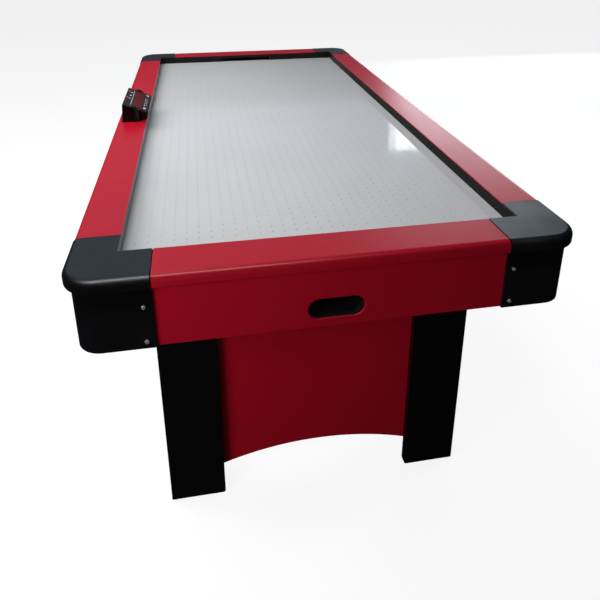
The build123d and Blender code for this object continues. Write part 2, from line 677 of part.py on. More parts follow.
# ---------------------------------------------------------------- power and wiring
def power_inlet():
    """Plug socket and switch frame in one moulding through the left apron."""
    y, z, face = POWER_Y, POWER_Z, -APRON_X
    body = box(face, face + 42, y - 21.5, y + 21.5, z - 16.5, z + 16.5)
    body += box(face - 2, face, y - 26, y + 26, z - 20, z + 20)
    rim = edges_near(body, Axis.Y, X=face - 2, Z=z + 20) + edges_near(body, Axis.Y, X=face - 2, Z=z - 20)
    body = fillet(rim, 1)
    socket = box(face - 3, face + 16, y - 19, y - 1, z - 7, z + 7)
    body -= fillet(socket.edges().filter_by(Axis.X), 3)
    body += rod((face + 4, y - 14, z), (face + 17, y - 14, z), 1.2)
    body += rod((face + 4, y - 6, z), (face + 17, y - 6, z), 1.2)
    body -= box(face - 3, face + 28, y + 4, y + 18, z - 12, z + 12)
    return body - rod((face + 10, y + 2, z), (face + 10, y + 20, z), 1.55)


def power_rocker():
    """Rocker in the off position: upper half pressed in."""
    y, z, face = POWER_Y, POWER_Z, -APRON_X
    px = face + 10
    side = Plane.XZ * make_face(Polyline((px + 8, z - 5), (px + 8, z + 5), (px - 2, z + 8.5),
                                         (px - 13.5, z + 8.5), (px - 12.2, z), (px - 13.5, z - 8.5),
                                         (px - 2, z - 8.5), close=True))
    body = Pos(0, y + 17.6, 0) * extrude(side, amount=13.2)
    body += rod((px, y + 2.6, z), (px, y + 19.4, z), 1.5)
    turn = Pos(px, 0, z) * Rot(0, ROCKER_TILT, 0) * Pos(-px, 0, -z)
    return turn * body


def control_box():
    """Cover over the control board, fixed under the air box."""
    shell = box(-470, -390, -50, 50, BOARD_Z - 40, BOARD_Z)
    shell = fillet(shell.edges().filter_by(Axis.Z), 4)
    return shell - box(-467.5, -392.5, -47.5, 47.5, BOARD_Z - 37.5, BOARD_Z + 1)


def control_board():
    """Circuit board and its transformer, inside the cover."""
    z0 = BOARD_Z - 37.5
    return [box(-466, -394, -46, 46, z0 + 4, z0 + 5.6),
            box(-460, -425, -38, -2, z0 + 5.6, z0 + 33),
            box(-461, -457, 30, 34, z0, z0 + 4), box(-403, -399, -34, -30, z0, z0 + 4)]


def wire_run(points, r=2.5):
    """Held cable: straight lengths with rounded turns."""
    run = rod(points[0], points[1], r)
    for a, b in zip(points[1:], points[2:]):
        run += Pos(*a) * Sphere(r)
        run += rod(a, b, r)
    return run


def wiring():
    """Cables clipped under the air box."""
    z = 709
    sx = -IN_X + STRIP_T / 2
    runs = [wire_run([(sx, SCORE_Y, 837.5), (sx, SCORE_Y, z), (-470, SCORE_Y, z)]),
            wire_run([(-390, 0, z), (-FAN_BOX, 0, z)]),
            wire_run([(-APRON_X + 42, POWER_Y, 695), (-430, POWER_Y, 695), (-430, -50, 695)])]
    for b in (-1, 1):
        runs.append(wire_run([(-430, 50 * b, z), (-430, 915 * b, z), (-330, 915 * b, z),
                              (-330, 1000 * b, z), (-330, 1000 * b, 726), (-139, 1000 * b, 726)]))
        runs.append(wire_run([(-327.5, 915 * b, z), (330, 915 * b, z), (330, 1000 * b, z),
                              (330, 1000 * b, 726), (139, 1000 * b, 726)]))
    return runs


# ---------------------------------------------------------------- write the nodes
def main():
    right = side_rail()
    save(right, "rail_right")
    left = mirror(right, about=Plane.YZ) - scorer_wire_hole(FIELD_Z - 60, TOP_Z + 5)
    save(scorer_pilots(left), "rail_left")
    save_ends(end_rail(), "rail")
    right = pilots(side_apron(), False, True)
    module = box(-APRON_X - 1, -IN_X + 1, POWER_Y - 21.5, POWER_Y + 21.5, POWER_Z - 16.5, POWER_Z + 16.5)
    save(right, "apron_right")
    save(mirror(right, about=Plane.YZ) - module, "apron_left")
    save_ends(pilots(end_apron(), True, False), "apron")

    for place, shape in four_ways(corner_cap).items():
        save(shape, f"corner_cap_{place}")
    for place, shape in four_ways(lambda: pilots(corner_block(), True, True)).items():
        save(shape, f"corner_block_{place}")
    save_group(cap_screws(), "cap_screws")

    save(playfield(), "playfield")
    save(plenum_board(), "plenum_board")
    plenum_strips()
    save_group(plenum_spacers(), "plenum_spacers")
    rebound_walls()
    save_ends(puck_chute(), "puck_chute")
    save_group(goal_sensors(), "goal_sensors")

    for place, shape in four_ways(leg).items():
        save(shape, f"leg_{place}")
    save_ends(end_panel(), "end_panel")
    save_ends(leg_beam(), "leg_beam")
    save_group(leg_bolts(), "leg_bolts")
    save_group(wood_screws(), "wood_screws")
    save_group(leg_glides(), "leg_glides")

    save(blower_housing(), "blower_housing")
    save(inlet_grille(), "inlet_grille")
    save(blower_motor(), "blower_motor")
    save(post(0, 0, FAN_Z + 7, FAN_Z + 57, SHAFT_R), "blower_shaft")
    save(impeller(), "impeller")
    save_group(blower_screws(), "blower_screws")

    save(scorer_housing(), "scorer_housing")
    save(scorer_panel(), "scorer_panel")
    save(slab(WINDOW[0], WINDOW[1], -WINDOW[2], WINDOW[2], -3, 0.8), "display_window")
    save_group(display_board(), "display_board")
    save(scorer_button(BUTTON_VS[0]), "button_near")
    save(scorer_button(BUTTON_VS[1]), "button_far")
    save_group(score_lamps(), "score_lamps")

    save(control_box(), "control_box")
    save_group(control_board(), "control_board")
    save(power_inlet(), "power_inlet")
    save(power_rocker(), "power_rocker")
    save_group(wiring(), "wiring")


main()
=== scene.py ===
import json
import math

import bmesh
import bpy
from mathutils import Matrix, Vector


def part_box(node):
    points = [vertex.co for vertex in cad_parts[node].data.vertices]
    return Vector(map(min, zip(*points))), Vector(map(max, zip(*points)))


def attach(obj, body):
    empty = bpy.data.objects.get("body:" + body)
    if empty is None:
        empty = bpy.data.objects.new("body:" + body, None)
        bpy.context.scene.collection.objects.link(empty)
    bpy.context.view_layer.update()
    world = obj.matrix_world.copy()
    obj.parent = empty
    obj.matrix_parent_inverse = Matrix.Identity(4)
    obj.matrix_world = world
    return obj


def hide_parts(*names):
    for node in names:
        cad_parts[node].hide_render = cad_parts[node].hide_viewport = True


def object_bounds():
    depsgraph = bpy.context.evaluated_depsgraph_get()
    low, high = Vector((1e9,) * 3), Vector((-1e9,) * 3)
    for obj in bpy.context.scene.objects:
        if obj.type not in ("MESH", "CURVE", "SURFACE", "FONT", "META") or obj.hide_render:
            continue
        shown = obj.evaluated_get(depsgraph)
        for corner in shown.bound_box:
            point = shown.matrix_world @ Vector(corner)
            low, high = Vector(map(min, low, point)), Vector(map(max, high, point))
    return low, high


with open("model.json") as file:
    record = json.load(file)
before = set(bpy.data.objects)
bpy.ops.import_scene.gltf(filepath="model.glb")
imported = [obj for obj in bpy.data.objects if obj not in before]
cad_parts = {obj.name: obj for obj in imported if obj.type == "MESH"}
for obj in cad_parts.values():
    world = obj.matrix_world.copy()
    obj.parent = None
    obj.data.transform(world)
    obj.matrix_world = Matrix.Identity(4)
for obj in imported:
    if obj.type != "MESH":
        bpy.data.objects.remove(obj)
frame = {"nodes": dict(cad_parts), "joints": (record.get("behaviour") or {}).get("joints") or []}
cad_low, cad_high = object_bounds()
nodes = frame["nodes"]
joints = {j["name"]: j for j in frame["joints"]}

# All lengths are in metres. The table runs along Y, the scorer stands on its -X side.


# ---------------------------------------------------------------- materials
MIX_A, MIX_B, MIX_RESULT = 6, 7, 2      # a Mix node's colour sockets, which share their names


class Finish:
    """A Principled material and the node graph that drives its colour, roughness and bump.

    Patterns are in object coordinates, so a scale is in repeats per metre.
    """

    def __init__(self, name, color, roughness, **sockets):
        self.mat = bpy.data.materials.new(name)
        self.mat.use_nodes = True
        self.tree = self.mat.node_tree
        self.bsdf = self.tree.nodes["Principled BSDF"]
        self.color = color
        self.bsdf.inputs["Base Color"].default_value = (*color, 1)
        self.bsdf.inputs["Roughness"].default_value = roughness
        for socket, value in sockets.items():
            self.bsdf.inputs[socket.replace("_", " ")].default_value = value
        self.mat.diffuse_color = (*color, 1)
        self.coords = self.tree.nodes.new("ShaderNodeTexCoord").outputs["Object"]

    def link(self, a, b):
        self.tree.links.new(a, b)

    def stretched(self, scale):
        """Coordinates scaled along each axis: below one draws a pattern out along it."""
        node = self.tree.nodes.new("ShaderNodeMapping")
        node.inputs["Scale"].default_value = scale
        self.link(self.coords, node.inputs["Vector"])
        return node.outputs["Vector"]

    def noise(self, scale, detail=2.0, roughness=0.5, vector=None, distortion=0.0):
        node = self.tree.nodes.new("ShaderNodeTexNoise")
        node.inputs["Scale"].default_value = scale
        node.inputs["Detail"].default_value = detail
        node.inputs["Roughness"].default_value = roughness
        node.inputs["Distortion"].default_value = distortion
        self.link(vector or self.coords, node.inputs["Vector"])
        return node.outputs["Fac"]

    def cells(self, scale, feature="F1"):
        """Distance pattern of a pebbled grain."""
        node = self.tree.nodes.new("ShaderNodeTexVoronoi")
        node.feature = feature
        node.inputs["Scale"].default_value = scale
        self.link(self.coords, node.inputs["Vector"])
        return node.outputs["Distance"]

    def facing(self):
        """Nought seen square on, one at a grazing angle."""
        node = self.tree.nodes.new("ShaderNodeLayerWeight")
        node.inputs["Blend"].default_value = 0.5
        return node.outputs["Facing"]

    def span(self, value, low, high, out_low, out_high):
        """Map a value's range on to another, held at the ends."""
        node = self.tree.nodes.new("ShaderNodeMapRange")
        node.inputs["From Min"].default_value = low
        node.inputs["From Max"].default_value = high
        node.inputs["To Min"].default_value = out_low
        node.inputs["To Max"].default_value = out_high
        self.link(value, node.inputs["Value"])
        return node.outputs["Result"]

    def combine(self, operation, a, b):
        """Add or multiply two sockets."""
        node = self.tree.nodes.new("ShaderNodeMath")
        node.operation = operation
        self.link(a, node.inputs[0])
        self.link(b, node.inputs[1])
        return node.outputs["Value"]

    def blend(self, amount, a, b):
        """Mix two colours; either may be a socket or three numbers."""
        node = self.tree.nodes.new("ShaderNodeMix")
        node.data_type = "RGBA"
        self.link(amount, node.inputs["Factor"])
        for place, value in ((MIX_A, a), (MIX_B, b)):
            if hasattr(value, "links"):
                self.link(value, node.inputs[place])
            else:
                node.inputs[place].default_value = (*value, 1)
        return node.outputs[MIX_RESULT]

    def paint(self, color):
        self.link(color, self.bsdf.inputs["Base Color"])

    def dull(self, roughness):
        self.link(roughness, self.bsdf.inputs["Roughness"])

    def bump(self, height, distance, strength):
        """Relief on top of any relief already there."""
        node = self.tree.nodes.new("ShaderNodeBump")
        node.inputs["Distance"].default_value = distance
        node.inputs["Strength"].default_value = strength
        self.link(height, node.inputs["Height"])
        below = self.bsdf.inputs["Normal"]
        if below.is_linked:
            self.link(below.links[0].from_socket, node.inputs["Normal"])
        self.link(node.outputs["Normal"], below)


def shade(color, k):
    return tuple(c * k for c in color)


def red_laminate():
    """Red foil on board: cloudy tone, fine print grain and a smeared satin."""
    f = Finish("red_laminate", (0.51, 0.0060, 0.024), 0.33, Specular_IOR_Level=0.36)
    cloud = f.span(f.noise(2.4, 4), 0.3, 0.75, 0, 1)
    grain = f.span(f.noise(900, 2), 0.35, 0.7, 0, 0.35)
    f.paint(f.blend(grain, f.blend(cloud, f.color, shade(f.color, 0.86)), shade(f.color, 0.8)))
    smear = f.noise(9, 5, 0.6, f.stretched((1, 0.35, 1)))
    f.dull(f.span(smear, 0.3, 0.75, 0.30, 0.35))
    f.bump(f.noise(1300, 2), 0.00006, 0.5)
    f.bump(f.noise(5, 2), 0.0012, 0.04)
    return f.mat


def black_laminate():
    """Black foil on board, with a little dust."""
    f = Finish("black_laminate", (0.004, 0.004, 0.0043), 0.46, Specular_IOR_Level=0.35)
    dust = f.span(f.noise(18, 6, 0.65), 0.5, 0.8, 0, 0.4)
    f.paint(f.blend(dust, f.color, (0.010, 0.0098, 0.0095)))
    f.dull(f.span(f.noise(11, 4), 0.3, 0.7, 0.40, 0.54))
    f.bump(f.noise(1100, 2), 0.00006, 0.5)
    return f.mat


def black_abs():
    """Moulded satin plastic with a fine leather grain and a few pale rubbed streaks."""
    f = Finish("black_abs", (0.0014, 0.0015, 0.0019), 0.40, Specular_IOR_Level=1.0, IOR=1.62,
               Specular_Tint=(0.90, 0.95, 1.0, 1))
    streak = f.noise(30, 2, 0.5, f.stretched((1, 6, 2.2)), 1.5)
    rare = f.noise(7, 2)
    rub = f.combine("MULTIPLY", f.span(streak, 0.66, 0.72, 0, 1), f.span(rare, 0.55, 0.62, 0, 0.5))
    tone = f.blend(f.span(f.noise(4, 3), 0.3, 0.7, 0, 1), f.color, shade(f.color, 1.35))
    f.paint(f.blend(rub, tone, (0.04, 0.04, 0.044)))
    f.dull(f.span(f.noise(14, 4), 0.3, 0.7, 0.37, 0.50))
    f.bump(f.cells(950), 0.00010, 0.35)
    f.bump(f.noise(2200, 2), 0.00005, 0.4)
    return f.mat


def wall_strip():
    """Black extruded strip: dull seen square on, glossy at a grazing angle."""
    f = Finish("wall_strip", (0.008, 0.008, 0.0085), 0.24, Specular_IOR_Level=0.20)
    gloss = f.span(f.facing(), 0.74, 0.84, 0.60, 0.03)
    scuff = f.noise(20, 4, 0.6, f.stretched((1, 0.1, 4)))
    f.dull(f.combine("ADD", gloss, f.span(scuff, 0.3, 0.75, 0, 0.03)))
    f.bump(f.noise(60, 2, 0.5, f.stretched((1, 0.05, 6))), 0.0001, 0.12)
    return f.mat


def playfield_gloss():
    """Glossy white sheet: faint waves in the surface and a light haze of wipe marks."""
    f = Finish("playfield_gloss", (0.655, 0.67, 0.69), 0.10)
    f.paint(f.blend(f.span(f.noise(3, 3), 0.35, 0.7, 0, 1), f.color, (0.625, 0.64, 0.66)))
    wipe = f.noise(8, 6, 0.7, f.stretched((2.5, 0.5, 1)), 0.6)
    f.dull(f.span(wipe, 0.35, 0.8, 0.045, 0.11))
    f.bump(f.noise(7, 2, 0.4, f.stretched((1.6, 0.5, 1))), 0.0008, 0.05)
    return f.mat


def zinc_plate():
    """Plated screws and bolts: a greyish crystal bloom."""
    f = Finish("zinc_plate", (0.72, 0.73, 0.75), 0.28, Metallic=0.55)
    f.paint(f.blend(f.span(f.noise(220, 3), 0.35, 0.7, 0, 1), f.color, (0.60, 0.61, 0.63)))
    f.dull(f.span(f.noise(500, 3), 0.3, 0.7, 0.20, 0.38))
    f.bump(f.noise(1800, 2), 0.00004, 0.4)
    return f.mat


def raw_board():
    """Unfaced fibreboard: short pressed fibres and a little dust."""
    f = Finish("raw_board", (0.36, 0.245, 0.145), 0.78)
    fibre = f.span(f.noise(420, 5, 0.7, f.stretched((1, 0.4, 1))), 0.35, 0.7, 0, 1)
    patch = f.span(f.noise(6, 4), 0.3, 0.7, 0, 0.5)
    f.paint(f.blend(patch, f.blend(fibre, f.color, (0.25, 0.16, 0.09)), (0.42, 0.30, 0.19)))
    f.bump(f.noise(700, 4, 0.7), 0.00025, 0.6)
    return f.mat


def moulded_black():
    """Plain injection-moulded black for housings, chutes and the fan."""
    f = Finish("moulded_black", (0.007, 0.007, 0.0075), 0.40)
    f.paint(f.blend(f.span(f.noise(12, 4), 0.35, 0.7, 0, 1), f.color, (0.011, 0.011, 0.0118)))
    f.dull(f.span(f.noise(25, 4), 0.3, 0.7, 0.33, 0.48))
    f.bump(f.cells(1600), 0.00005, 0.4)
    return f.mat


def scorer_black():
    """Deep black moulding of the scorer's case."""
    f = Finish("scorer_black", (0.0016, 0.0016, 0.0018), 0.34, Specular_IOR_Level=0.28)
    f.dull(f.span(f.noise(40, 4), 0.3, 0.7, 0.28, 0.42))
    f.bump(f.cells(1500), 0.00005, 0.4)
    return f.mat


def scorer_film():
    """Dark printed film on the scorer's face plate."""
    f = Finish("scorer_film", (0.0175, 0.0165, 0.0165), 0.42, Specular_IOR_Level=0.22)
    f.paint(f.blend(f.span(f.noise(40, 4), 0.35, 0.7, 0, 1), f.color, (0.023, 0.022, 0.022)))
    f.dull(f.span(f.noise(60, 3), 0.3, 0.7, 0.38, 0.50))
    f.bump(f.noise(2600, 2), 0.00004, 0.5)
    return f.mat


def smoked_lens():
    """Smoked red display window."""
    f = Finish("smoked_lens", (0.19, 0.008, 0.004), 0.20, Transmission_Weight=0.50, Specular_IOR_Level=0.05)
    f.dull(f.span(f.noise(70, 4, 0.6), 0.4, 0.8, 0.16, 0.28))
    f.bump(f.noise(40, 2), 0.0001, 0.15)
    return f.mat


def lamp_lens():
    """Clear red lamp, which glows a little."""
    f = Finish("lamp_lens", (0.95, 0.07, 0.08), 0.16, Transmission_Weight=0.05, IOR=1.47)
    f.bsdf.inputs["Emission Color"].default_value = (1.0, 0.06, 0.10, 1)
    f.bsdf.inputs["Emission Strength"].default_value = 0.35
    f.dull(f.span(f.noise(300, 3), 0.3, 0.7, 0.12, 0.22))
    f.bump(f.cells(1200), 0.00008, 0.3)
    return f.mat


def satin_button():
    """Pale push button."""
    f = Finish("satin_button", (0.96, 0.97, 0.98), 0.22)
    f.dull(f.span(f.noise(900, 3), 0.3, 0.7, 0.16, 0.30))
    f.bump(f.noise(1500, 2), 0.00003, 0.4)
    return f.mat


def circuit_green():
    """Solder mask with paler tracks."""
    f = Finish("circuit_green", (0.012, 0.09, 0.045), 0.35)
    tracks = f.span(f.cells(260, "DISTANCE_TO_EDGE"), 0.02, 0.06, 1, 0)
    f.paint(f.blend(tracks, f.color, (0.03, 0.16, 0.08)))
    f.bump(tracks, 0.00006, 0.5)
    return f.mat


def motor_paint():
    """Black paint on a metal motor can."""
    f = Finish("motor_paint", (0.03, 0.03, 0.033), 0.36, Metallic=0.3)
    f.dull(f.span(f.noise(80, 4), 0.3, 0.7, 0.30, 0.46))
    f.bump(f.noise(1600, 3), 0.00008, 0.5)
    return f.mat


def cable_rubber():
    """Soft cable jacket."""
    f = Finish("cable_rubber", (0.014, 0.014, 0.015), 0.55)
    f.dull(f.span(f.noise(60, 4), 0.3, 0.7, 0.48, 0.64))
    f.bump(f.noise(900, 2), 0.00008, 0.4)
    return f.mat


def print_ink(name, color):
    """Ink with a fine uneven coverage."""
    f = Finish(name, color, 0.5)
    f.paint(f.blend(f.span(f.noise(900, 3), 0.4, 0.75, 0, 0.5), color, shade(color, 0.7)))
    return f.mat


def floor_finish():
    """Pale studio floor, lit a little from within as a light table is."""
    f = Finish("floor_finish", (0.20, 0.20, 0.20), 0.9, Specular_IOR_Level=0.0)
    f.paint(f.blend(f.span(f.noise(0.8, 3), 0.3, 0.7, 0, 1), f.color, (0.195, 0.195, 0.195)))
    f.bsdf.inputs["Emission Color"].default_value = (1, 1, 1, 1)
    f.bsdf.inputs["Emission Strength"].default_value = 0.87
    return f.mat


RED = red_laminate()
ABS = black_abs()
MOULDED = moulded_black()
BOARD = raw_board()
ZINC = zinc_plate()
# White ink for the printed dots, and also for the painted highlight strip along the scorer bezel's upper
# edge.
WHITE_PRINT_AND_EDGE_HIGHLIGHT = print_ink("white_print_and_edge_highlight", (0.80, 0.80, 0.82))
PINK_PRINT = print_ink("pink_print", (0.72, 0.42, 0.48))
UNLIT_PRINT = print_ink("unlit_print", (0.10, 0.085, 0.085))
BLACK_PRINT = print_ink("black_print", (0.004, 0.004, 0.004))
PLAYFIELD = playfield_gloss()
BOARD_GREEN = circuit_green()

# Which finish each family of nodes takes, by the start of its name; the first match counts.
FINISHES = [
    ("rail_", RED), ("apron_", RED), ("end_panel_", RED),
    ("corner_cap_", ABS), ("corner_block_", BOARD), ("plenum_", BOARD), ("leg_beam_", BOARD),
    ("leg_bolts", ZINC), ("leg_glides", MOULDED), ("leg_", black_laminate()),
    ("cap_screws", ZINC), ("wood_screws", ZINC), ("blower_screws", ZINC), ("blower_shaft", ZINC),
    ("wall_", wall_strip()), ("playfield", PLAYFIELD), ("puck_chute_", MOULDED),
    ("goal_sensors", MOULDED), ("blower_housing", MOULDED), ("inlet_grille", MOULDED),
    ("impeller", MOULDED), ("blower_motor", motor_paint()), ("scorer_housing", scorer_black()),
    ("scorer_panel", scorer_film()), ("display_window", smoked_lens()),
    ("display_board", BOARD_GREEN), ("control_board", BOARD_GREEN),
    ("button_", satin_button()), ("score_lamps", lamp_lens()), ("control_box", MOULDED),
    ("power_", MOULDED), ("wiring", cable_rubber()),
]


def finish_nodes():
    """Give every CAD node its family's finish."""
    for name, node in nodes.items():
        material = next(m for start, m in FINISHES if name.startswith(start))
        for slot in node.material_slots:
            slot.material = material


# ---------------------------------------------------------------- mesh helpers
SHARP_ANGLE = math.radians(35)      # edges steeper than this stay sharp


def piece(name, bm, material, body="table"):
    """Turn a bmesh into a named object that rides on a body."""
    mesh = bpy.data.meshes.new(name)
    bm.to_mesh(mesh)
    bm.free()
    mesh.materials.append(material)
    mesh.shade_smooth()
    mesh.set_sharp_from_angle(angle=SHARP_ANGLE)
    obj = bpy.data.objects.new(name, mesh)
    bpy.context.scene.collection.objects.link(obj)
    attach(obj, body)
    return obj


def prism(bm, outline, place, depth, bevel=0.0):
    """Closed prism: outline in the XY plane of place, rising by depth along its Z to a bevelled rim."""
    low = [bm.verts.new(place @ Vector((x, y, 0))) for x, y in outline]
    high = [bm.verts.new(place @ Vector((x, y, depth))) for x, y in outline]
    faces = [bm.faces.new(low[::-1]), bm.faces.new(high)]
    for k in range(len(outline)):
        n = (k + 1) % len(outline)
        faces.append(bm.faces.new((low[k], low[n], high[n], high[k])))
    if bevel:
        rim = list(faces[1].edges)
        bmesh.ops.bevel(bm, geom=rim, offset=bevel, segments=2, affect="EDGES", profile=0.6)


def rounded(width, height, radius, steps=4):
    """Outline of a rounded rectangle, counter-clockwise about the origin."""
    points = []
    for k, (sx, sy) in enumerate(((1, 1), (-1, 1), (-1, -1), (1, -1))):
        cx, cy = sx * (width / 2 - radius), sy * (height / 2 - radius)
        for s in range(steps + 1):
            a = math.pi / 2 * (k + s / steps)
            points.append((cx + radius * math.cos(a), cy + radius * math.sin(a)))
    return points


# ---------------------------------------------------------------- playfield with its air holes
HOLE_PITCH = 0.027
HOLE_RADIUS = 0.0014
HOLE_ROWS = (31, 70)                # across and along the table
GOAL_HALF, END_HALF = 4.5, 12.5     # across, in cells from the middle: goal opening, end tabs' outer sides
SIDE_HALF = 33                      # along, in cells from the middle: where the side margins stop
GOAL_LAP = 0.001                    # the sheet reaches this far past the end wall at a goal


def playfield_sheet():
    """The sheet on a lattice of cells: one air hole in each cell of the playing area.

    Its corners are left out for the corner blocks, and its ends for the goals.
    """
    low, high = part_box("playfield")
    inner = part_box("wall_right")[1].x
    goal_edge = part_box("wall_rear")[1].y + GOAL_LAP
    half_x, half_y = (n * HOLE_PITCH / 2 for n in HOLE_ROWS)
    xs = [low.x, -inner] + [i * HOLE_PITCH - half_x for i in range(HOLE_ROWS[0] + 1)] + [inner, high.x]
    ys = [low.y, -goal_edge] + [i * HOLE_PITCH - half_y for i in range(HOLE_ROWS[1] + 1)]
    ys += [goal_edge, high.y]
    goal_x, end_x, side_y = (n * HOLE_PITCH for n in (GOAL_HALF, END_HALF, SIDE_HALF))

    def kept(x, y):
        if abs(y) > goal_edge:
            return goal_x < abs(x) < end_x
        if abs(x) > inner:
            return abs(y) < side_y
        return True

    def drilled(x, y):
        return abs(x) < half_x and abs(y) < half_y

    bm = bmesh.new()
    made = {}

    def corner(i, j, z):
        if (i, j, z) not in made:
            made[i, j, z] = bm.verts.new((xs[i], ys[j], z))
        return made[i, j, z]

    def centre(i, j):
        return (xs[i] + xs[i + 1]) / 2, (ys[j] + ys[j + 1]) / 2

    def inside(i, j):
        return 0 <= i < len(xs) - 1 and 0 <= j < len(ys) - 1 and kept(*centre(i, j))

    around = ((0, 0), (1, 0), (1, 1), (0, 1))
    beyond = ((0, -1), (1, 0), (0, 1), (-1, 0))
    for i in range(len(xs) - 1):
        for j in range(len(ys) - 1):
            if not inside(i, j):
                continue
            top = [corner(i + a, j + b, high.z) for a, b in around]
            base = [corner(i + a, j + b, low.z) for a, b in around]
            if drilled(*centre(i, j)):
                drill_cell(bm, top, base, centre(i, j), low.z, high.z)
            else:
                bm.faces.new(top)
                bm.faces.new(base[::-1])
            for k, (a, b) in enumerate(beyond):
                if not inside(i + a, j + b):
                    n = (k + 1) % 4
                    bm.faces.new((base[k], base[n], top[n], top[k]))
    sheet = piece("playfield_sheet", bm, PLAYFIELD)
    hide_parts("playfield")


def drill_cell(bm, top, base, centre, z0, z1):
    """Top, bottom and wall faces round an eight-sided hole in a square cell."""
    rings = []
    for z in (z0, z1):
        ring = []
        for k in range(4):
            for turn in (-22.5, 22.5):
                a = math.radians(225 + 90 * k + turn)
                ring.append(bm.verts.new((centre[0] + HOLE_RADIUS * math.cos(a),
                                          centre[1] + HOLE_RADIUS * math.sin(a), z)))
        rings.append(ring)
    lower, upper = rings
    for k in range(4):
        n = (k + 1) % 4
        a, b, c = 2 * k, 2 * k + 1, 2 * n
        bm.faces.new((top[k], upper[b], upper[a]))
        bm.faces.new((top[k], top[n], upper[c], upper[b]))
        bm.faces.new((base[k], lower[a], lower[b]))
        bm.faces.new((base[k], lower[b], lower[c], base[n]))
    for m in range(8):
        n = (m + 1) % 8
        bm.faces.new((upper[m], upper[n], lower[n], lower[m]))


# ---------------------------------------------------------------- scorer details
FACE_OVER_BOARD = 0.012         # from the display board's back to the face plate's outside
FACE_UP_SLOPE = 0.0025          # the face plate's middle is this far up the slope from the board's

DIGIT_WIDTH, DIGIT_HEIGHT = 0.011, 0.018
DIGIT_PLACES = (-0.072, -0.044, 0.044, 0.072)       # along the face
DIGIT_DOWN = 0.003              # down the slope
DIGIT_DEPTH = 0.00449           # under the face, just clear of the digit blocks
SEGMENT_WIDTH = 0.0022
SEGMENT_GAP = 0.0004
SEGMENT_TUCK = 0.6 * SEGMENT_WIDTH     # by which a bar stops short of the digit's outline

PRINT_THICK, PRINT_EDGE = 0.0003, 0.00008
DOT_SIZE, DOT_ROUND, DOT_THICK, DOT_EDGE = 0.0068, 0.00339, 0.00035, 0.0001
DOT_DOWN, DOT_PLACES = -0.0265, (-0.014, 0.023, 0.062)
BAR_WIDTH, BAR_ROUND = 0.0030, 0.0009
BARS = ((0.0265, -0.046, 0.014), (0.0325, -0.034, 0.010), (0.0265, -0.024, 0.018),
        (0.0325, -0.006, 0.016), (0.0265, 0.008, 0.018), (0.0325, 0.024, 0.014),
        (0.0265, 0.036, 0.016))      # place down the slope, place along, length
# Painted highlight: a white strip just above the bezel's upper edge stands in for the light that edge
# catches.
EDGE_HIGHLIGHT_DOWN, EDGE_HIGHLIGHT_WIDTH, EDGE_HIGHLIGHT_LENGTH, EDGE_HIGHLIGHT_ROUND = -0.0179, 0.0016, 0.194, 0.0007
BEZEL_RISE = 0.00139
BORDER_OUTER = (-0.0158, 0.0218, 0.0968)    # top, bottom and half length on the bezel
BORDER_INNER = (-0.0131, 0.0191, 0.0941)
BORDER_THICK = 0.0002


def scorer_plane():
    """Matrix of the scorer's sloping face: x down the slope, y along the table, z outwards."""
    into = Vector(joints["button_near_press"]["axis"]).normalized()
    out = -into
    along = Vector((0, 1, 0))
    down = along.cross(out)
    board = [v.co for v in nodes["display_board"].data.vertices]
    face = min(p.dot(out) for p in board) + FACE_OVER_BOARD
    middle = (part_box("scorer_housing")[0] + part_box("scorer_housing")[1]) / 2
    slide = (min(p.dot(down) for p in board) + max(p.dot(down) for p in board)) / 2 - FACE_UP_SLOPE
    origin = down * slide + along * middle.y + out * face
    return Matrix(((down.x, along.x, out.x, origin.x), (down.y, along.y, out.y, origin.y),
                   (down.z, along.z, out.z, origin.z), (0, 0, 0, 1)))


def digit_segments(face):
    """Seven unlit bars on each of the four digit blocks behind the window."""
    bm = bmesh.new()
    tall = DIGIT_HEIGHT / 2 - SEGMENT_TUCK
    wide = DIGIT_WIDTH - SEGMENT_TUCK
    for place in DIGIT_PLACES:
        for up in (DIGIT_HEIGHT / 2, 0, -DIGIT_HEIGHT / 2):
            segment(bm, face, place, up, wide, False)
        for side in (-1, 1):
            for half in (-1, 1):
                segment(bm, face, place + side * DIGIT_WIDTH / 2, half * DIGIT_HEIGHT / 4, tall, True)
    piece("digit_segments", bm, UNLIT_PRINT)


def segment(bm, face, along, up, length, upright):
    """One pointed segment bar; up is towards the scorer's tall side."""
    h, w = length / 2 - SEGMENT_GAP, SEGMENT_WIDTH / 2
    shape = [(-h, 0), (-h + w, -w), (h - w, -w), (h, 0), (h - w, w), (-h + w, w)]
    if upright:
        shape = [(-y, x) for x, y in shape]
    outline = [(DIGIT_DOWN - (up + y), along + x) for x, y in shape]
    place = face @ Matrix.Translation((0, 0, -DIGIT_DEPTH))
    prism(bm, outline[::-1], place, PRINT_THICK)


def face_marks(face):
    """Generic printed marks beside the lamps and between the buttons, and a painted highlight: a white
    strip along the bezel's upper edge.
    """
    dots = bmesh.new()
    for along in DOT_PLACES:
        place = face @ Matrix.Translation((DOT_DOWN, along, 0))
        prism(dots, rounded(DOT_SIZE, DOT_SIZE, DOT_ROUND), place, DOT_THICK, DOT_EDGE)
    piece("face_dots", dots, WHITE_PRINT_AND_EDGE_HIGHLIGHT)
    bars = bmesh.new()
    for down, along, length in BARS:
        place = face @ Matrix.Translation((down, along, 0))
        prism(bars, rounded(BAR_WIDTH, length, BAR_ROUND), place, PRINT_THICK, PRINT_EDGE)
    piece("face_bars", bars, PINK_PRINT)
    window_border(face)
    # Painted highlight: a white strip along the bezel's upper edge, drawn in the white ink.
    edge_highlight = bmesh.new()
    outline = [(x + EDGE_HIGHLIGHT_DOWN, y) for x, y in rounded(EDGE_HIGHLIGHT_WIDTH, EDGE_HIGHLIGHT_LENGTH, EDGE_HIGHLIGHT_ROUND)]
    prism(edge_highlight, outline, face, PRINT_THICK, PRINT_EDGE)
    piece("bezel_edge_highlight", edge_highlight, WHITE_PRINT_AND_EDGE_HIGHLIGHT)


